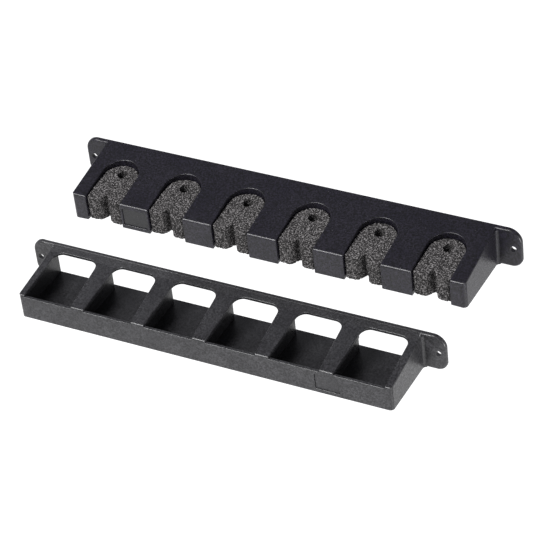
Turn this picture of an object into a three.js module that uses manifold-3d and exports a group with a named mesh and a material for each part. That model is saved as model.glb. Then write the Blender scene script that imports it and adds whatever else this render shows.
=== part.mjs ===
// Six-place wall rack for cues or rods, in two moulded rails that screw to one wall.
// The upper grip rail holds each shaft in a slit foam grip; the lower butt tray has six pockets.
// Millimetres, +Z up. The wall is the plane y = 0 and the rails stand out from it towards -Y.
// The origin is the middle of the grip rail's back face.

import * as THREE from "three";
import { mergeVertices } from "three/addons/utils/BufferGeometryUtils.js";
import Module from "manifold-3d";

const wasm = await Module();
wasm.setup();

// ---- Driving dimensions -------------------------------------------------------------------

const PLACES = 6;
const CLEARANCE = 0.3; // gap between pieces that touch

// Section shared by both rails
const DEPTH = 60; // wall to front face
const BACK_HEIGHT = 33.2;
const FRONT_EDGE_RADIUS = 1.8; // where the roof turns down into the front wall
const END_EDGE_RADIUS = 1.5; // where the roof turns down into the end walls
const CORNER_RADIUS = 3.5; // upright corners at the two front ends
const BACK_PLATE = 3.4;
const BACK_PLATE_EDGE_RADIUS = 2; // round its front face
const ROOF_RISE_FROM = -9.5; // here the roof steepens, to reach the top of the back plate
const ROOF_RISE_TO = BACK_PLATE_EDGE_RADIUS - BACK_PLATE; // behind this line the top is level
const ROOF_RISE_RADIUS = 10; // of the hollow where it steepens
const EAR_FILLET = 2.5; // in the corner between an end wall and an ear

// Ears: the back plate runs past the body at both ends
const EAR_WIDTH = 19.6;
const EAR_TOP_RADIUS = 11;
const EAR_BOTTOM_RADIUS = 8.5;
const SCREW_HOLE_RADIUS = 2.5;
const SCREW_HOLE_INSET = 6.5; // hole centre to the ear's outer edge
const SCREW_HOLE_HEIGHT = 16.6;

// Upper grip rail
const GRIP_RAIL_LENGTH = 330; // without the ears
const GRIP_ROOF = { wall: 33, front: 22.1 }; // heights of the sloping roof at the wall and the front
const SLOT_PITCH = 55;
const SLOT_WIDTH = 30.4;
const SLOT_ARC_Y = -31.6; // centre of each slot's round inner end
const SHELL_SKIN = 2.5;
const SLOT_WALL = 2.2;
const RIB = 1.8;
const RIB_FOOT = 5; // ribs stop this far above the open underside
const BLOCK_RIB_REACH = 30; // how far the ribs between slots run out from the wall

// Foam grips
const FOAM_FRONT_RECESS = 1;
const FOAM_TOP = { wall: 27.7, front: 21.2 }; // heights of its top: it slopes less than the roof
const FOAM_BOTTOM = 0.5;
const FOAM_NOTCH_WIDTH = 9;
const FOAM_NOTCH_DEPTH = 8;
const FOAM_HOLE_RADIUS = 3.8;
const FOAM_HOLE_Y = -27;
const FOAM_LOBE_RADIUS = 2.5;
const FOAM_NOTCH_RADIUS = 4;

// Lower butt tray
const TRAY_LENGTH = 333.6; // without the ears
const TRAY_ROOF = { wall: 31.1, front: 22.3 };
const TRAY_SHIFT = -69; // along the wall, from the grip rail
const TRAY_DROP = 118; // below the grip rail
const POCKET_PITCH = 55.7;
const TRAY_WALL = 1.8; // dividers and end walls
const TRAY_FRONT_WALL = 2.8;
const DIVIDER_REAR_Y = -4.6; // the dividers stop just short of the wall
const TRAY_FLOOR = 3;
const STRIP_WIDTH = 11.7; // roof left between two windows, at the front
const STRIP_FLARE = 0.05; // how fast each of its sides spreads towards the wall
const END_STRIP_WIDTH = 5.6;
const END_STRIP_FLARE = 0.03;
const STRIP_THICKNESS = 3.8;
const BAND_THICKNESS = 1.9; // roof behind and around the windows' rear corners
const WINDOW_REAR_Y = -8;
const WINDOW_RADIUS = 8;
const TRAY_FRONT_TOP = 20.7; // front wall between the strips
const REAR_OPENING_TOP = 27;

// Blank nameplates, each sunk into a seat in a rail's front
const PLATE_WIDTH = 20.4;
const PLATE_HEIGHT = 14;
const PLATE_THICKNESS = 0.6;
const PLATE_SEAT_DEPTH = 1.8;
const PLATE_RADIUS = 0.4;
const GRIP_PLATE_X = -2 * SLOT_PITCH;
const GRIP_PLATE_Z = 10.8;
const TRAY_PLATE_X = 2 * POCKET_PITCH;
const TRAY_PLATE_Z = 10.5;

const FAR = 400; // longer than any rail, for cutting solids
const PAST = 1; // how far a cutting solid runs past the face it cuts
const ARC_STEPS = 8; // chords in a quarter turn
const PLATE_STEPS = 3; // the same, at the nameplates' small corners
const FOAM_STEPS = 4; // the same, on the foam

// ---- Materials ----------------------------------------------------------------------------

const BLACK_PLASTIC = { color: 0x242427, roughness: 0.55, metalness: 0 };
const TRAY_PLASTIC = { color: 0x303032, roughness: 0.6, metalness: 0 };
const FOAM = { color: 0x3b3938, roughness: 0.95, metalness: 0 };
const PLATE_PLASTIC = { color: 0x2c2c2e, roughness: 0.45, metalness: 0 };

// ---- Solids from three.js shapes ----------------------------------------------------------

// Closed outline through corners [x, y, radius], with a true arc at each corner that has a radius.
function roundedOutline(corners) {
  const shape = new THREE.Shape();
  const points = corners.map(([x, y]) => new THREE.Vector2(x, y));
  points.forEach((corner, i) => {
    const radius = corners[i][2] ?? 0;
    const before = points.at(i - 1).clone().sub(corner).normalize();
    const after = points[(i + 1) % points.length].clone().sub(corner).normalize();
    const half = Math.acos(THREE.MathUtils.clamp(before.dot(after), -1, 1)) / 2;
    const start = corner.clone().addScaledVector(before, radius / Math.tan(half));
    if (i === 0) shape.moveTo(start.x, start.y);
    else shape.lineTo(start.x, start.y);
    if (!radius) return;
    const end = corner.clone().addScaledVector(after, radius / Math.tan(half));
    const inward = before.clone().add(after).normalize();
    const centre = corner.clone().addScaledVector(inward, radius / Math.sin(half));
    const from = start.clone().sub(centre).angle();
    const to = end.clone().sub(centre).angle();
    const clockwise = before.cross(after) > 0;
    shape.absarc(centre.x, centre.y, radius, from, to, clockwise);
  });
  return shape;
}

function solidFrom(geometry) {
  geometry.deleteAttribute("normal");
  geometry.deleteAttribute("uv");
  const merged = mergeVertices(geometry, 1e-4);
  const vertProperties = new Float32Array(merged.attributes.position.array);
  const triVerts = new Uint32Array(merged.index.array);
  return new wasm.Manifold(new wasm.Mesh({ numProp: 3, vertProperties, triVerts }));
}

function extrude(shape, depth, matrix, steps = ARC_STEPS, roundedBy = 0) {
  const geometry = new THREE.ExtrudeGeometry(shape, {
    depth,
    curveSegments: steps,
    bevelEnabled: roundedBy > 0,
    bevelSize: roundedBy,
    bevelThickness: roundedBy,
    bevelSegments: ARC_STEPS / 2,
  });
  geometry.applyMatrix4(matrix);
  return solidFrom(geometry);
}

// Plan outline in x and y, standing between two heights.
function upright(shape, z0, z1, steps) {
  return extrude(shape, z1 - z0, new THREE.Matrix4().makeTranslation(0, 0, z0), steps);
}

// Section outline in y and z, running between two values of x.
function lengthwise(shape, x0, x1) {
  const matrix = new THREE.Matrix4().makeBasis(
    new THREE.Vector3(0, 1, 0),
    new THREE.Vector3(0, 0, 1),
    new THREE.Vector3(1, 0, 0),
  );
  return extrude(shape, x1 - x0, matrix.setPosition(x0, 0, 0));
}

// Elevation outline in x and z, running from y0 forward to y1, which is nearer the front.
function depthwise(shape, y0, y1, { steps, roundedBy } = {}) {
  const matrix = new THREE.Matrix4().makeBasis(
    new THREE.Vector3(1, 0, 0),
    new THREE.Vector3(0, 0, 1),
    new THREE.Vector3(0, -1, 0),
  );
  return extrude(shape, y0 - y1, matrix.setPosition(0, y0, 0), steps, roundedBy);
}

// Closed solid through rings of equally many points in y and z, one ring at each x.
function loft(rings) {
  const count = rings[0].points.length;
  const last = count * (rings.length - 1);
  const caps = THREE.ShapeUtils.triangulateShape(rings[0].points, []);
  const index = caps.flatMap(([a, b, c]) => [c, b, a, last + a, last + b, last + c]);
  for (let corner = 0; corner < last; corner++) {
    const next = (corner + 1) % count === 0 ? corner + 1 - count : corner + 1;
    index.push(corner, next, next + count, corner, next + count, corner + count);
  }
  const geometry = new THREE.BufferGeometry();
  const positions = rings.flatMap(({ x, points }) => points.flatMap((p) => [x, p.x, p.y]));
  geometry.setAttribute("position", new THREE.Float32BufferAttribute(positions, 3));
  geometry.setIndex(index);
  return solidFrom(geometry);
}

function block(x0, x1, y0, y1, z0, z1) {
  return upright(roundedOutline([[x0, y0], [x1, y0], [x1, y1], [x0, y1]]), z0, z1);
}

function cylinderAlongY(x, z, radius) {
  const geometry = new THREE.CylinderGeometry(radius, radius, DEPTH, 4 * ARC_STEPS);
  geometry.translate(x, 0, z);
  return solidFrom(geometry);
}

function named(name, solid, look) {
  const mesh = solid.getMesh();
  const geometry = new THREE.BufferGeometry();
  geometry.setAttribute("position", new THREE.BufferAttribute(new Float32Array(mesh.vertProperties), 3));
  geometry.setIndex(new THREE.BufferAttribute(new Uint32Array(mesh.triVerts), 1));
  geometry.computeVertexNormals();
  const piece = new THREE.Mesh(geometry, new THREE.MeshStandardMaterial(look));
  piece.name = name;
  return piece;
}

// ---- Shared rail shapes -------------------------------------------------------------------

function slopeOf(roof) {
  return (roof.wall - roof.front) / DEPTH;
}

function heightAt(roof, y) {
  return roof.wall + slopeOf(roof) * y;
}

// Everything under a surface that lies a fixed drop below the roof, from yBack forward to yFront.
function under(roof, drop, yBack, yFront) {
  const section = roundedOutline([
    [yFront, -FAR],
    [yBack, -FAR],
    [yBack, heightAt(roof, yBack) - drop],
    [yFront, heightAt(roof, yFront) - drop],
  ]);
  return lengthwise(section, -FAR, FAR);
}

// Outline in y and z of a rail: the roof slopes up from the front and steepens near the back plate.
// A drop lowers the whole roof and leaves the bottom where it is.
function railSection(roof, drop) {
  const outline = roundedOutline([
    [-DEPTH, 0],
    [0, 0],
    [0, BACK_HEIGHT],
    [ROOF_RISE_TO, BACK_HEIGHT],
    [ROOF_RISE_FROM, heightAt(roof, ROOF_RISE_FROM), ROOF_RISE_RADIUS],
    [-DEPTH, roof.front, FRONT_EDGE_RADIUS],
  ]);
  return outline.getPoints(ARC_STEPS).map(({ x, y }) => new THREE.Vector2(x, Math.max(0, y - drop)));
}

// Outer body of a rail, with every edge of its roof and its front corners rounded.
function railBody(length, roof) {
  const half = length / 2;
  const rightRings = Array.from({ length: ARC_STEPS + 1 }, (_, i) => {
    const angle = ((i / ARC_STEPS) * Math.PI) / 2;
    const inset = END_EDGE_RADIUS * (1 - Math.sin(angle));
    const drop = END_EDGE_RADIUS * (1 - Math.cos(angle));
    return { x: half - inset, points: railSection(roof, drop) };
  });
  const leftRings = rightRings.map(({ x, points }) => ({ x: -x, points })).reverse();
  const plan = roundedOutline([
    [-half, -DEPTH, CORNER_RADIUS],
    [half, -DEPTH, CORNER_RADIUS],
    [half, 0],
    [-half, 0],
  ]);
  return loft([...leftRings, ...rightRings]).intersect(upright(plan, -PAST, BACK_HEIGHT + PAST));
}

// Fills the corners between the end walls and the ears, flush with the lowest part of the rounded edge.
function earFillets(length, roof) {
  const inner = length / 2;
  const outer = inner + EAR_FILLET;
  const plan = roundedOutline([
    [inner - PAST, -BACK_PLATE - EAR_FILLET],
    [inner, -BACK_PLATE - EAR_FILLET],
    [inner, -BACK_PLATE, EAR_FILLET],
    [outer, -BACK_PLATE],
    [outer, -PAST],
    [inner - PAST, -PAST],
  ]);
  const right = upright(plan, 0, BACK_HEIGHT);
  const below = lengthwise(new THREE.Shape(railSection(roof, END_EDGE_RADIUS)), -FAR, FAR);
  return right.add(right.mirror([1, 0, 0])).intersect(below);
}

// The back plate runs past both ends of the body as ears. Only its front face has rounded edges.
function backPlate(length) {
  const r = BACK_PLATE_EDGE_RADIUS;
  const end = length / 2 + EAR_WIDTH - r;
  const outline = roundedOutline([
    [-end, r, EAR_BOTTOM_RADIUS - r],
    [end, r, EAR_BOTTOM_RADIUS - r],
    [end, BACK_HEIGHT - r, EAR_TOP_RADIUS - r],
    [-end, BACK_HEIGHT - r, EAR_TOP_RADIUS - r],
  ]);
  // Its rounded back starts behind the wall plane and is cut off there.
  return depthwise(outline, r + PAST, r - BACK_PLATE, { roundedBy: r })
    .subtract(block(-FAR, FAR, 0, FAR, -FAR, FAR));
}

function railBlank(length, roof) {
  return railBody(length, roof).add(backPlate(length)).add(earFillets(length, roof));
}

function drillEars(rail, length) {
  const holeX = length / 2 + EAR_WIDTH - SCREW_HOLE_INSET;
  return [-holeX, holeX].reduce(
    (solid, x) => solid.subtract(cylinderAlongY(x, SCREW_HOLE_HEIGHT, SCREW_HOLE_RADIUS)),
    rail,
  );
}

function plateOutline(x, z, grow) {
  const w = PLATE_WIDTH / 2 + grow;
  const h = PLATE_HEIGHT / 2 + grow;
  const r = PLATE_RADIUS + grow;
  return roundedOutline([[x - w, z - h, r], [x + w, z - h, r], [x + w, z + h, r], [x - w, z + h, r]]);
}

function nameplate(x, z) {
  const back = -DEPTH + PLATE_SEAT_DEPTH - CLEARANCE;
  return depthwise(plateOutline(x, z, 0), back, back - PLATE_THICKNESS, { steps: PLATE_STEPS });
}

function nameplateSeat(x, z) {
  const outline = plateOutline(x, z, CLEARANCE);
  return depthwise(outline, -DEPTH + PLATE_SEAT_DEPTH, -DEPTH - PAST, { steps: PLATE_STEPS });
}

// ---- Upper grip rail ----------------------------------------------------------------------

const slotCentres = Array.from({ length: PLACES }, (_, i) => (i - (PLACES - 1) / 2) * SLOT_PITCH);
const blockCentres = slotCentres.slice(1).map((x) => x - SLOT_PITCH / 2);

// U outline: straight sides open to the front, half-round inner end.
function slotOutline(x, halfWidth) {
  const shape = new THREE.Shape();
  shape.moveTo(x - halfWidth, -DEPTH - PAST);
  shape.lineTo(x + halfWidth, -DEPTH - PAST);
  shape.absarc(x, SLOT_ARC_Y, halfWidth, 0, Math.PI, false);
  return shape;
}

function gripRail() {
  const half = GRIP_RAIL_LENGTH / 2;
  const inside = half - SHELL_SKIN;
  const hollowPlan = block(-inside, inside, -DEPTH + SHELL_SKIN, -BACK_PLATE, -PAST, BACK_HEIGHT);
  let hollow = under(GRIP_ROOF, SHELL_SKIN, -BACK_PLATE, -DEPTH + SHELL_SKIN).intersect(hollowPlan);
  for (const x of slotCentres) {
    const wallReach = SLOT_WIDTH / 2 + SLOT_WALL;
    hollow = hollow.subtract(upright(slotOutline(x, wallReach), -PAST, BACK_HEIGHT, 2 * ARC_STEPS));
    hollow = hollow.subtract(block(x - RIB / 2, x + RIB / 2, SLOT_ARC_Y, 0, RIB_FOOT, BACK_HEIGHT));
  }
  for (const x of blockCentres) {
    hollow = hollow.subtract(block(x - RIB / 2, x + RIB / 2, -BLOCK_RIB_REACH, 0, RIB_FOOT, BACK_HEIGHT));
  }
  let rail = railBlank(GRIP_RAIL_LENGTH, GRIP_ROOF).subtract(hollow);
  for (const x of slotCentres) {
    rail = rail.subtract(upright(slotOutline(x, SLOT_WIDTH / 2), -PAST, FAR, 2 * ARC_STEPS));
  }
  return drillEars(rail, GRIP_RAIL_LENGTH).subtract(nameplateSeat(GRIP_PLATE_X, GRIP_PLATE_Z));
}

// Foam block that fills a slot. Two round lobes meet at the front, where a slit, pressed shut, leads
// back to the shaft hole.
function foamGrip(x) {
  const side = SLOT_WIDTH / 2 - CLEARANCE;
  const front = -DEPTH + FOAM_FRONT_RECESS;
  const notchRoot = front + FOAM_NOTCH_DEPTH;
  const outline = roundedOutline([
    [x - side, front, FOAM_LOBE_RADIUS],
    [x - FOAM_NOTCH_WIDTH / 2, front, FOAM_NOTCH_RADIUS],
    [x, notchRoot],
    [x + FOAM_NOTCH_WIDTH / 2, front, FOAM_NOTCH_RADIUS],
    [x + side, front, FOAM_LOBE_RADIUS],
    [x + side, SLOT_ARC_Y + side, side],
    [x - side, SLOT_ARC_Y + side, side],
  ]);
  const hole = new THREE.Shape().absarc(x, FOAM_HOLE_Y, FOAM_HOLE_RADIUS, 0, 2 * Math.PI, false);
  return upright(outline, FOAM_BOTTOM, BACK_HEIGHT, FOAM_STEPS)
    .intersect(under(FOAM_TOP, 0, 0, -DEPTH))
    .subtract(upright(hole, 0, BACK_HEIGHT, 3 * FOAM_STEPS));
}

// ---- Lower butt tray ----------------------------------------------------------------------

const dividerCentres = Array.from({ length: PLACES - 1 }, (_, i) => (i - (PLACES - 2) / 2) * POCKET_PITCH);

// The clear widths of the pockets, or of the roof windows over them, from end wall to end wall.
function bays(endThickness, dividerThickness) {
  const end = TRAY_LENGTH / 2 - endThickness;
  const lefts = [-end, ...dividerCentres.map((x) => x + dividerThickness / 2)];
  const rights = [...dividerCentres.map((x) => x - dividerThickness / 2), end];
  return lefts.map((left, i) => [left, rights[i]]);
}

// Room under the roof: thick strips beside the windows, a thin band round their rear corners.
function pocketHeadroom() {
  const front = -DEPTH + TRAY_FRONT_WALL;
  const underStrips = under(TRAY_ROOF, STRIP_THICKNESS, PAST, front);
  const underBand = under(TRAY_ROOF, BAND_THICKNESS, -BACK_PLATE, WINDOW_REAR_Y - WINDOW_RADIUS);
  const throughBack = block(-FAR, FAR, -FAR, -BACK_PLATE, -FAR, FAR)
    .add(block(-FAR, FAR, -BACK_PLATE, PAST, -FAR, REAR_OPENING_TOP));
  return underStrips.add(underBand).intersect(throughBack);
}

// A window narrows towards the wall as the strips on its left and right flare.
function roofWindow([x0, x1], leftFlare, rightFlare) {
  const front = -DEPTH - PAST;
  const run = WINDOW_REAR_Y - front;
  const outline = roundedOutline([
    [x0, front],
    [x1, front],
    [x1 - rightFlare * run, WINDOW_REAR_Y, WINDOW_RADIUS],
    [x0 + leftFlare * run, WINDOW_REAR_Y, WINDOW_RADIUS],
  ]);
  const behindFront = block(x0, x1, -DEPTH + TRAY_FRONT_WALL, 0, -FAR, FAR);
  return upright(outline, TRAY_FRONT_TOP, FAR)
    .add(upright(outline, TRAY_FRONT_TOP - STRIP_THICKNESS, FAR).intersect(behindFront));
}

function buttTray() {
  const headroom = pocketHeadroom();
  const inside = TRAY_LENGTH / 2 - TRAY_WALL;
  const behindDividers = block(-inside, inside, DIVIDER_REAR_Y, PAST, TRAY_FLOOR, BACK_HEIGHT);
  let tray = railBlank(TRAY_LENGTH, TRAY_ROOF).subtract(behindDividers.intersect(headroom));
  for (const [x0, x1] of bays(TRAY_WALL, TRAY_WALL)) {
    const pocket = block(x0, x1, -DEPTH + TRAY_FRONT_WALL, PAST, TRAY_FLOOR, BACK_HEIGHT);
    tray = tray.subtract(pocket.intersect(headroom));
  }
  bays(END_STRIP_WIDTH, STRIP_WIDTH).forEach((bay, i) => {
    const leftFlare = i === 0 ? END_STRIP_FLARE : STRIP_FLARE;
    const rightFlare = i === PLACES - 1 ? END_STRIP_FLARE : STRIP_FLARE;
    tray = tray.subtract(roofWindow(bay, leftFlare, rightFlare));
  });
  return drillEars(tray, TRAY_LENGTH).subtract(nameplateSeat(TRAY_PLATE_X, TRAY_PLATE_Z));
}

// ---- Assembly -----------------------------------------------------------------------------

const upper = new THREE.Group();
upper.position.set(0, 0, -BACK_HEIGHT / 2);
upper.add(named("grip_rail", gripRail(), BLACK_PLASTIC));
slotCentres.forEach((x, i) => upper.add(named(`foam_grip_${i + 1}`, foamGrip(x), FOAM)));
upper.add(named("grip_rail_nameplate", nameplate(GRIP_PLATE_X, GRIP_PLATE_Z), PLATE_PLASTIC));

const lower = new THREE.Group();
lower.position.set(TRAY_SHIFT, 0, -BACK_HEIGHT / 2 - TRAY_DROP);
lower.add(named("butt_tray", buttTray(), TRAY_PLASTIC));
lower.add(named("butt_tray_nameplate", nameplate(TRAY_PLATE_X, TRAY_PLATE_Z), PLATE_PLASTIC));

const rack = new THREE.Group();
rack.add(upper, lower);

export default rack;
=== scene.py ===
"""Looks for the wall rod and cue rack: moulded rails with a fine grain, and open-cell foam grips."""

import math

import bpy
import numpy as np
from mathutils import Matrix, Vector


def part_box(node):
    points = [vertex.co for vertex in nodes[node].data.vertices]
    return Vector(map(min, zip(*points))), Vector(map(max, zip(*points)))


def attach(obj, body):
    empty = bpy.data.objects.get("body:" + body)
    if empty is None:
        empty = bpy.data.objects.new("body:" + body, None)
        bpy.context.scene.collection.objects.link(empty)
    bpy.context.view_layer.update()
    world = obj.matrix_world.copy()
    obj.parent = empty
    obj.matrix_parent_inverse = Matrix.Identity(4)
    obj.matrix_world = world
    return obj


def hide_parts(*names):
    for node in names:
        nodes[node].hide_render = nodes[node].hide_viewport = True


MM = 0.001

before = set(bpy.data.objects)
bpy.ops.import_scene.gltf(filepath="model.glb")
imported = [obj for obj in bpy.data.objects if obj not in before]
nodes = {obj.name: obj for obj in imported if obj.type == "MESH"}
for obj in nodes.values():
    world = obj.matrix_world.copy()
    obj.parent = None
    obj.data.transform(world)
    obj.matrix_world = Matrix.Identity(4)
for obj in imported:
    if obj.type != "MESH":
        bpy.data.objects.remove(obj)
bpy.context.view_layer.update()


def add_to_scene(name, data):
    obj = bpy.data.objects.new(name, data)
    bpy.context.scene.collection.objects.link(obj)
    return obj


def new_material(name):
    material = bpy.data.materials.new(name)
    material.use_nodes = True
    tree = material.node_tree
    return material, tree, tree.nodes["Principled BSDF"]


# ---- Camera ---------------------------------------------------------------------------------

CAMERA_AT = Vector((0.7877, -1.3300, 1.1059))
CAMERA_HEADING = math.radians(31.66)  # turned left from facing the wall square on
CAMERA_DIP = math.radians(37.134)
CAMERA_ROLL = math.radians(-7.075)
CAMERA_LENS = 167.17
CAMERA_SENSOR = 36
CAMERA_NEAR, CAMERA_FAR = 0.05, 60


def make_camera():
    forward = Vector(
        (
            -math.sin(CAMERA_HEADING) * math.cos(CAMERA_DIP),
            math.cos(CAMERA_HEADING) * math.cos(CAMERA_DIP),
            -math.sin(CAMERA_DIP),
        )
    )
    level = Vector((math.cos(CAMERA_HEADING), math.sin(CAMERA_HEADING), 0))
    upright = level.cross(forward)
    right = math.cos(CAMERA_ROLL) * level + math.sin(CAMERA_ROLL) * upright
    up = math.cos(CAMERA_ROLL) * upright - math.sin(CAMERA_ROLL) * level
    data = bpy.data.cameras.new("camera")
    data.lens = CAMERA_LENS
    data.sensor_width = CAMERA_SENSOR
    data.clip_start, data.clip_end = CAMERA_NEAR, CAMERA_FAR
    camera = add_to_scene("camera", data)
    turn = Matrix((right, up, -forward)).transposed().to_4x4()
    camera.matrix_world = Matrix.Translation(CAMERA_AT) @ turn
    bpy.context.scene.camera = camera


make_camera()


# ---- Stage and light ------------------------------------------------------------------------

FLOOR_DROP = 1.2  # the rack hangs on a wall, well above the floor
FLOOR_REACH = 30  # from its middle to each side
FLOOR_GREY = (0.25, 0.25, 0.25)
FLOOR_LIGHT = (1, 1, 1, 1)
FLOOR_GLOW = 0.95  # lights the floor almost to white

SKY_LOW = (0.8, 0.8, 0.8)  # light from the horizon and below it
SKY_HIGH = (0.30, 0.30, 0.33)
SKY_HIGH_FROM = 0.42  # rise of the direction above which the sky is at its darkest

RACK_AT = Vector((0, 0, 0))
SOFTBOXES = (
    # name, place, width, height, watts
    ("key", (-1.1, -1.75, 2.1), 1.3, 1.1, 150),
    ("side", (2.4, -0.9, -0.35), 1.2, 1.0, 60),
)


def make_floor():
    mesh = bpy.data.meshes.new("floor")
    z, r = -FLOOR_DROP, FLOOR_REACH
    mesh.from_pydata([(-r, -r, z), (r, -r, z), (r, r, z), (-r, r, z)], [], [(0, 1, 2, 3)])
    material, _, bsdf = new_material("pale_floor")
    bsdf.inputs["Base Color"].default_value = (*FLOOR_GREY, 1)
    bsdf.inputs["Roughness"].default_value = 1
    bsdf.inputs["Specular IOR Level"].default_value = 0
    bsdf.inputs["Emission Color"].default_value = FLOOR_LIGHT
    bsdf.inputs["Emission Strength"].default_value = FLOOR_GLOW
    mesh.materials.append(material)
    floor = add_to_scene("floor", mesh)


def make_world():
    world = bpy.data.worlds.new("studio")
    bpy.context.scene.world = world
    world.use_nodes = True
    tree = world.node_tree
    tree.nodes.clear()
    direction = tree.nodes.new("ShaderNodeTexCoord")
    split = tree.nodes.new("ShaderNodeSeparateXYZ")
    sky = tree.nodes.new("ShaderNodeValToRGB")
    background = tree.nodes.new("ShaderNodeBackground")
    output = tree.nodes.new("ShaderNodeOutputWorld")
    sky.color_ramp.interpolation = "EASE"
    low, high = sky.color_ramp.elements
    low.position, low.color = 0.0, (*SKY_LOW, 1)
    high.position, high.color = SKY_HIGH_FROM, (*SKY_HIGH, 1)
    tree.links.new(direction.outputs["Generated"], split.inputs["Vector"])
    tree.links.new(split.outputs["Z"], sky.inputs["Fac"])
    tree.links.new(sky.outputs["Color"], background.inputs["Color"])
    tree.links.new(background.outputs["Background"], output.inputs["Surface"])


def softbox(name, at, width, height, watts):
    data = bpy.data.lights.new(name, "AREA")
    data.shape = "RECTANGLE"
    data.size, data.size_y = width, height
    data.energy = watts
    lamp = add_to_scene(name, data)
    lamp.location = at
    lamp.rotation_mode = "QUATERNION"
    lamp.rotation_quaternion = (RACK_AT - Vector(at)).to_track_quat("-Z", "Y")


make_floor()
make_world()
for box in SOFTBOXES:
    softbox(*box)
bpy.context.scene.view_settings.view_transform = "Standard"


# ---- Materials ------------------------------------------------------------------------------

NOISE = "ShaderNodeTexNoise"
CELLS = "ShaderNodeTexVoronoi"
WHITE = (1, 1, 1, 1)

# Plastic. Scales are in features per metre.
CLOUD_SCALE = 45  # slow changes of tint
GRAIN_SCALE = 740
FINE_GRAIN_SCALE = 2400
DUST_SCALE = 210
GRAIN_HEIGHT = 0.1 * MM
FINE_GRAIN_HEIGHT = 0.06 * MM
DUST = 0.06  # added to the tint at the middle of a speck
PIT_PEAK = 1.4  # how much more the grain lightens its peaks than it darkens its pits
DULLER, GLOSSIER = 0.08, 0.06  # change of roughness in the pits and on the peaks

# Foam
FOAM_CELL_SCALE = 720
FLECK_SCALE = 1000
FLECK_SHARE = 0.65  # how much of the colour comes from the flecks, not the cells
PIT_TINT = (0.002, 0.0018, 0.0019)
WALL_TINT = (0.046, 0.043, 0.043)
FIBRE_TINT = (0.018, 0.0168, 0.0168)
TORN_TINT = (0.25, 0.24, 0.24)
SIDE_PAINTED_SHADE = 0.66  # painted shade on the faces that don't look up, darker than the top
FOAM_ROUGHNESS = 0.95
FOAM_SPECULAR = 0.2
FOAM_BUMP = 0.6
FOAM_BUMP_HEIGHT = 0.4 * MM

# Pocket floors, and the painted shade down on them
POCKET_FLOOR = 3 * MM  # thickness
# how dark the painted shade makes the pocket floors
FLOOR_PAINTED_SHADE = 0.6
FLOOR_PAINTED_SHADE_FULL, FLOOR_PAINTED_SHADE_GONE = 0.3 * MM, 1.2 * MM  # heights above the floor where the painted shade is full and where it is gone


def texture(tree, kind, scale, **sockets):
    """A 3D texture node on object coordinates; scale is in features per metre."""
    node = tree.nodes.new(kind)
    node.inputs["Scale"].default_value = scale
    for socket, value in sockets.items():
        node.inputs[socket].default_value = value
    coords = tree.nodes.get("coords") or tree.nodes.new("ShaderNodeTexCoord")
    coords.name = "coords"
    tree.links.new(coords.outputs["Object"], node.inputs["Vector"])
    return node


def split_coords(tree, output):
    """The X, Y and Z of a texture coordinate, such as the surface's normal."""
    split = tree.nodes.new("ShaderNodeSeparateXYZ")
    tree.links.new(tree.nodes["coords"].outputs[output], split.inputs["Vector"])
    return split.outputs


def ramp(tree, source, stops):
    """A colour ramp; each stop is a place and a colour, or a place and a grey."""
    node = tree.nodes.new("ShaderNodeValToRGB")
    elements = node.color_ramp.elements
    while len(elements) < len(stops):
        elements.new(0.5)
    for element, (at, value) in zip(elements, stops):
        element.position = at
        element.color = (*value, 1) if isinstance(value, tuple) else (value, value, value, 1)
    tree.links.new(source, node.inputs["Fac"])
    return node.outputs["Color"]


def mix(tree, kind, factor, a, b):
    """Mixes two colours; the factor is a number or an output, and b a colour or an output."""
    node = tree.nodes.new("ShaderNodeMix")
    node.data_type = "RGBA"
    node.blend_type = kind
    if isinstance(factor, float):
        node.inputs["Factor"].default_value = factor
    else:
        tree.links.new(factor, node.inputs["Factor"])
    tree.links.new(a, node.inputs["A"])
    if isinstance(b, tuple):
        node.inputs["B"].default_value = b
    else:
        tree.links.new(b, node.inputs["B"])
    return node.outputs["Result"]


def bump(tree, height, strength, distance, under=None):
    node = tree.nodes.new("ShaderNodeBump")
    node.inputs["Strength"].default_value = strength
    node.inputs["Distance"].default_value = distance
    tree.links.new(height, node.inputs["Height"])
    if under:
        tree.links.new(under, node.inputs["Normal"])
    return node.outputs["Normal"]


def moulded_plastic(name, dark, light, rough, grain, ior):
    """Black moulded plastic: spark-eroded grain, cloudy tint, and a little dust in the grain."""
    material, tree, bsdf = new_material(name)
    cloud = texture(tree, NOISE, CLOUD_SCALE, Detail=5)
    coarse = texture(tree, NOISE, GRAIN_SCALE, Detail=3, Roughness=0.75).outputs["Fac"]
    fine = texture(tree, NOISE, FINE_GRAIN_SCALE, Detail=1).outputs["Fac"]
    specks = texture(tree, CELLS, DUST_SCALE)
    tint = ramp(tree, cloud.outputs["Fac"], [(0.35, dark), (0.65, light)])
    pits = ramp(tree, coarse, [(0.38, 1 - grain), (0.5, 0.95), (0.62, 1 + PIT_PEAK * grain)])
    dust = ramp(tree, specks.outputs["Distance"], [(0.03, DUST), (0.07, 0.0)])
    gloss = ramp(tree, coarse, [(0.36, rough + DULLER), (0.64, rough - GLOSSIER)])
    grained = mix(tree, "MULTIPLY", 1.0, tint, pits)
    under = bump(tree, coarse, grain, GRAIN_HEIGHT)
    normal = bump(tree, fine, grain, FINE_GRAIN_HEIGHT, under)
    tree.links.new(mix(tree, "ADD", 1.0, grained, dust), bsdf.inputs["Base Color"])
    tree.links.new(gloss, bsdf.inputs["Roughness"])
    tree.links.new(normal, bsdf.inputs["Normal"])
    bsdf.inputs["IOR"].default_value = ior
    return material


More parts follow.
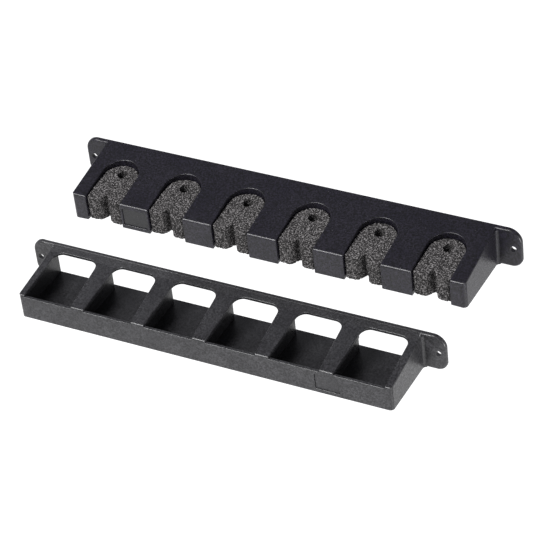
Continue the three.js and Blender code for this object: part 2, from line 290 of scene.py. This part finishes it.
def open_cell_foam(name):
    """Charcoal open-cell foam: near-black pits, grey cell walls, pale torn fibres, and painted shade on
    the faces that don't look up.
    """
    material, tree, bsdf = new_material(name)
    cells = texture(tree, CELLS, FOAM_CELL_SCALE, Randomness=1.0).outputs["Distance"]
    fleck = texture(tree, NOISE, FLECK_SCALE, Detail=2, Roughness=0.55).outputs["Fac"]
    walls = ramp(tree, cells, [(0.15, PIT_TINT), (0.6, WALL_TINT)])
    fibres = ramp(tree, fleck, [(0.42, PIT_TINT), (0.52, FIBRE_TINT), (0.62, TORN_TINT)])
    # painted shade: faces that don't look up are darkened against the top
    side_painted_shade = ramp(tree, split_coords(tree, "Normal")["Z"], [(0.2, SIDE_PAINTED_SHADE), (0.8, 1.0)])
    foam = mix(tree, "MIX", FLECK_SHARE, walls, fibres)
    tree.links.new(mix(tree, "MULTIPLY", 1.0, foam, side_painted_shade), bsdf.inputs["Base Color"])
    tree.links.new(bump(tree, cells, FOAM_BUMP, FOAM_BUMP_HEIGHT), bsdf.inputs["Normal"])
    bsdf.inputs["Roughness"].default_value = FOAM_ROUGHNESS
    bsdf.inputs["Specular IOR Level"].default_value = FOAM_SPECULAR
    return material


def paint_pocket_floor_shade(material, floor_top):
    """Painted shade: the up-facing pocket floors, down in the recesses between the dividers, are
    darkened below the rest of the tray.
    """
    tree = material.node_tree
    base = tree.nodes["Principled BSDF"].inputs["Base Color"]
    colour = base.links[0].from_socket
    raised = tree.nodes.new("ShaderNodeMapRange")
    raised.inputs["From Min"].default_value = floor_top + FLOOR_PAINTED_SHADE_FULL
    raised.inputs["From Max"].default_value = floor_top + FLOOR_PAINTED_SHADE_GONE
    tree.links.new(split_coords(tree, "Object")["Z"], raised.inputs["Value"])
    # painted shade, strongest on faces that look straight up
    upward = ramp(tree, split_coords(tree, "Normal")["Z"], [(0.3, 1.0), (0.9, FLOOR_PAINTED_SHADE)])
    shade = mix(tree, "MIX", raised.outputs["Result"], upward, WHITE)
    tree.links.new(mix(tree, "MULTIPLY", 1.0, colour, shade), base)


# Each tint runs from its darker clouds to its lighter ones.
RAIL_TINT = (0.0052, 0.0046, 0.0078), (0.0078, 0.007, 0.0104)
# The tray's tint is about three times the rail's: partly a lighter plastic, partly painted light
# standing in for the brighter lighting on the tray.
TRAY_TINT = (0.0172, 0.0169, 0.0188), (0.0245, 0.0242, 0.0262)
PLATE_TINT = (0.009, 0.009, 0.01), (0.011, 0.011, 0.012)

RAIL = moulded_plastic("rail_plastic", *RAIL_TINT, rough=0.33, grain=0.9, ior=1.4)
TRAY = moulded_plastic("tray_plastic", *TRAY_TINT, rough=0.33, grain=0.65, ior=1.42)
PLATE = moulded_plastic("nameplate_plastic", *PLATE_TINT, rough=0.36, grain=0.2, ior=1.42)
TRAY_PLATE = moulded_plastic(
    "tray_nameplate_plastic", *TRAY_TINT, rough=0.36, grain=0.4, ior=1.42
)
FOAM = open_cell_foam("grip_foam")
# painted shade on the tray's pocket floors
paint_pocket_floor_shade(TRAY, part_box("butt_tray")[0].z + POCKET_FLOOR)


# ---- Rails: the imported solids, with their edges eased ----------------------------------------

SAME_POINT = 1e-6
FLAT_WITHIN = math.radians(1)
SHARP_FROM = math.radians(45)
END_ZONE = 24 * MM  # each ear, and a little of the body beside it
EAR_ZONE = 12 * MM  # from the wall
SHORT = 0.6 * MM  # at the ends, edges no longer than this are left as they are
SHORT_BY_EARS = 1.1 * MM  # and these, beside the wall
EASE_SEGMENTS = 3
WELD_WITHIN = 0.01 * MM
FLAT_FACE_WEIGHT = 100  # flat faces keep their own shading beside the rounded edges


def surface_group(name):
    """A geometry node group with one mesh in and one out."""
    group = bpy.data.node_groups.new(name, "GeometryNodeTree")
    for way in ("INPUT", "OUTPUT"):
        group.interface.new_socket("Geometry", in_out=way, socket_type="NodeSocketGeometry")
    mesh_in = group.nodes.new("NodeGroupInput").outputs[0]
    mesh_out = group.nodes.new("NodeGroupOutput").inputs[0]
    return group, mesh_in, mesh_out


def tidy_group():
    """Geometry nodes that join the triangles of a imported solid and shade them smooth."""
    group, mesh_in, mesh_out = surface_group("tidy")
    new, link = group.nodes.new, group.links.new
    forget = new("GeometryNodeRemoveAttribute")
    forget.inputs["Name"].default_value = "custom_normal"
    merge = new("GeometryNodeMergeByDistance")
    merge.inputs["Distance"].default_value = SAME_POINT
    smooth = new("GeometryNodeSetShadeSmooth")
    link(mesh_in, forget.inputs["Geometry"])
    link(forget.outputs["Geometry"], merge.inputs["Geometry"])
    link(merge.outputs["Geometry"], smooth.inputs["Geometry"])
    link(smooth.outputs["Geometry"], mesh_out)
    return group


def crisp_group():
    """Geometry nodes that mark the sharp outer edges to be rounded, less the shortest at the ends.

    The small facets of an ear's fillet would fold over if their edges were rounded.
    """
    group, mesh_in, mesh_out = surface_group("crisp")
    new, link = group.nodes.new, group.links.new

    def vector(operation, a, b):
        node = new("ShaderNodeVectorMath")
        node.operation = operation
        link(a, node.inputs[0])
        link(b, node.inputs[1])
        return node.outputs

    def more(value, than):
        node = new("FunctionNodeCompare")
        link(value, node.inputs["A"])
        node.inputs["B"].default_value = than
        return node.outputs["Result"]

    def part(place, axis):
        split = new("ShaderNodeSeparateXYZ")
        link(place["Vector"], split.inputs["Vector"])
        return split.outputs[axis]

    def both(operation, a, b):
        node = new("FunctionNodeBooleanMath")
        node.operation = operation
        link(a, node.inputs[0])
        link(b, node.inputs[1])
        return node.outputs["Boolean"]

    ends = new("GeometryNodeInputMeshEdgeVertices").outputs
    length = vector("DISTANCE", ends["Position 1"], ends["Position 2"])["Value"]
    box = new("GeometryNodeBoundBox")
    link(mesh_in, box.inputs["Geometry"])
    here = new("GeometryNodeInputPosition").outputs["Position"]
    past_low = vector("SUBTRACT", here, box.outputs["Min"])
    before_high = vector("SUBTRACT", box.outputs["Max"], here)
    inner = both("AND", more(part(past_low, "X"), END_ZONE), more(part(before_high, "X"), END_ZONE))
    off_wall = both("AND", more(part(before_high, "Y"), EAR_ZONE), more(length, SHORT))
    kept = both("OR", both("OR", inner, off_wall), more(length, SHORT_BY_EARS))
    angle = new("GeometryNodeInputMeshEdgeAngle").outputs["Signed Angle"]
    store = new("GeometryNodeStoreNamedAttribute")
    store.domain = "EDGE"
    store.inputs["Name"].default_value = "bevel_weight_edge"
    link(mesh_in, store.inputs["Geometry"])
    link(both("AND", kept, more(angle, SHARP_FROM)), store.inputs["Value"])
    link(store.outputs["Geometry"], mesh_out)
    return group


def corner_group():
    """Geometry nodes that shade the edges left unrounded as sharp corners."""
    group, mesh_in, mesh_out = surface_group("corners")
    new, link = group.nodes.new, group.links.new
    sharp = new("FunctionNodeCompare")
    link(new("GeometryNodeInputMeshEdgeAngle").outputs["Unsigned Angle"], sharp.inputs["A"])
    sharp.inputs["B"].default_value = SHARP_FROM
    corner = new("GeometryNodeSetShadeSmooth")
    corner.domain = "EDGE"
    corner.inputs["Shade Smooth"].default_value = False
    link(mesh_in, corner.inputs["Geometry"])
    link(sharp.outputs["Result"], corner.inputs["Selection"])
    link(corner.outputs["Geometry"], mesh_out)
    return group


TIDY = tidy_group()
CRISP = crisp_group()
CORNERS = corner_group()


def ease_edges(obj, width):
    obj.modifiers.new("tidy", "NODES").node_group = TIDY
    flat = obj.modifiers.new("flat", "DECIMATE")
    flat.decimate_type = "DISSOLVE"
    flat.angle_limit = FLAT_WITHIN
    obj.modifiers.new("crisp", "NODES").node_group = CRISP
    bevel = obj.modifiers.new("ease", "BEVEL")
    bevel.width = width
    bevel.segments = EASE_SEGMENTS
    bevel.limit_method = "WEIGHT"
    bevel.use_clamp_overlap = False
    weld = obj.modifiers.new("weld", "WELD")
    weld.merge_threshold = WELD_WITHIN
    obj.modifiers.new("corners", "NODES").node_group = CORNERS
    weighted = obj.modifiers.new("shade", "WEIGHTED_NORMAL")
    weighted.keep_sharp = True
    weighted.weight = FLAT_FACE_WEIGHT


def cover(obj, material):
    obj.data.materials.clear()
    obj.data.materials.append(material)


for name, material, edge_width in (
    ("grip_rail", RAIL, 0.6 * MM),
    ("butt_tray", TRAY, 0.5 * MM),
    ("grip_rail_nameplate", PLATE, 0.2 * MM),
    ("butt_tray_nameplate", TRAY_PLATE, 0.2 * MM),
):
    cover(nodes[name], material)
    ease_edges(nodes[name], edge_width)


# ---- Foam grips -----------------------------------------------------------------------------

GRIPS = 6
REMESH_CELL = 0.6 * MM
WORN_STEPS = 8  # of smoothing, which rounds the edges
SIDE_SHARE = 0.3  # how much of the tearing shows on the sides, which the slot presses flat
TORN_CELL = 1.7 * MM
TORN_LAYERS = (
    # texture, size of a feature, its output, value left whole, value at full depth, depth
    (CELLS, TORN_CELL, "Distance", 0.55, 0.1, 0.5 * MM),
    (NOISE, 0.5 * TORN_CELL, "Fac", 0.35, 0.65, 0.3 * MM),
    (NOISE, 7 * MM, "Fac", 0.3, 0.7, 0.35 * MM),
)

SLIT_HALF = 0.5 * MM
SLIT_LENGTH = 30.5 * MM  # from the foam's front to the shaft hole
SLIT_DEPTH = 0.8 * MM
SLIT_FACING = 0.7  # the slit shows on faces that look up or down at least this much
WANDER = 0.3 * MM
WANDER_LENGTH = 2.3 * MM
WANDER_SHIFT = 900  # per metre along the rail, so no two slits wander alike

FRAY_DEPTH = 0.4 * MM
FRAY_FACING = -0.4
FRAY_REACH = 2 * MM  # above the foam's underside
FRAY_ALONG, FRAY_ACROSS, FRAY_SLANT = 1.9 * MM, 1.3 * MM, 3.7 * MM  # lengths of its ripples


def tearing_group():
    """Geometry nodes that pit a surface: round torn cells, ragged grain and a slow swell."""
    group, mesh_in, mesh_out = surface_group("tearing")
    new, link = group.nodes.new, group.links.new

    def depth(kind, size, output, whole, deepest, deep):
        """How far in a texture pushes the surface, as a number below nought."""
        pattern = new(kind)
        pattern.inputs["Scale"].default_value = 1 / size
        spread = new("ShaderNodeMapRange")
        ends = {"From Min": whole, "From Max": deepest, "To Min": 0, "To Max": -deep}
        for socket, value in ends.items():
            spread.inputs[socket].default_value = value
        link(pattern.outputs[output], spread.inputs["Value"])
        return spread.outputs["Result"]

    total, *rest = [depth(*layer) for layer in TORN_LAYERS]
    for further in rest:
        add = new("ShaderNodeMath")
        link(total, add.inputs[0])
        link(further, add.inputs[1])
        total = add.outputs["Value"]
    pressed = new("ShaderNodeVectorMath")
    pressed.operation = "MULTIPLY"
    pressed.inputs[1].default_value = (SIDE_SHARE, 1, 1)
    offset = new("ShaderNodeVectorMath")
    offset.operation = "SCALE"
    move = new("GeometryNodeSetPosition")
    link(new("GeometryNodeInputNormal").outputs["Normal"], pressed.inputs[0])
    link(pressed.outputs["Vector"], offset.inputs["Vector"])
    link(total, offset.inputs["Scale"])
    link(mesh_in, move.inputs["Geometry"])
    link(offset.outputs["Vector"], move.inputs["Offset"])
    link(move.outputs["Geometry"], mesh_out)
    return group


TEARING = tearing_group()


def torn_copy(node, name):
    """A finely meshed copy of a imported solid, its edges worn round and its faces pitted."""
    mesh = node.data.copy()
    mesh.transform(node.matrix_world)
    piece = add_to_scene(name, mesh)
    fine = piece.modifiers.new("fine", "REMESH")
    fine.mode = "VOXEL"
    fine.voxel_size = REMESH_CELL
    piece.modifiers.new("worn", "SMOOTH").iterations = WORN_STEPS
    piece.modifiers.new("torn", "NODES").node_group = TEARING
    shaped = piece.evaluated_get(bpy.context.evaluated_depsgraph_get())
    piece.data = bpy.data.meshes.new_from_object(shaped)
    piece.modifiers.clear()
    return piece


def crease_and_fray(mesh, middle, front, bottom):
    """Presses in the shut slit on the top and the underside, and frays the underside."""
    count = len(mesh.vertices)
    at = np.empty(count * 3)
    out = np.empty(count * 3)
    mesh.vertices.foreach_get("co", at)
    mesh.vertex_normals.foreach_get("vector", out)
    at, out = at.reshape(-1, 3), out.reshape(-1, 3)
    x, y, z = at.T
    facing = out[:, 2]
    wander = WANDER * np.sin(y / WANDER_LENGTH + WANDER_SHIFT * middle)
    off_slit = np.abs(x - middle + wander) / SLIT_HALF
    on_slit = (off_slit < 1) & (y < front + SLIT_LENGTH) & (np.abs(facing) > SLIT_FACING)
    z -= np.where(on_slit, SLIT_DEPTH * (1 - off_slit) * np.sign(facing), 0)
    ragged = np.sin(x / FRAY_ALONG) * np.cos(y / FRAY_ACROSS) + np.sin((x + 2 * y) / FRAY_SLANT)
    underside = (facing < FRAY_FACING) & (z < bottom + FRAY_REACH)
    z += np.where(underside, FRAY_DEPTH * (2 + ragged), 0)
    mesh.vertices.foreach_set("co", at.ravel())
    mesh.update()


def foam_grip(number):
    """Slit foam block: pitted all over, with a crease where the slit is pressed shut."""
    name = f"foam_grip_{number}"
    low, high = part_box(name)
    piece = torn_copy(nodes[name], f"foam_{number}")
    crease_and_fray(piece.data, (low.x + high.x) / 2, low.y, low.z)
    piece.data.shade_smooth()
    cover(piece, FOAM)
    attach(piece, "root")
    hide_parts(name)


for number in range(1, GRIPS + 1):
    foam_grip(number)
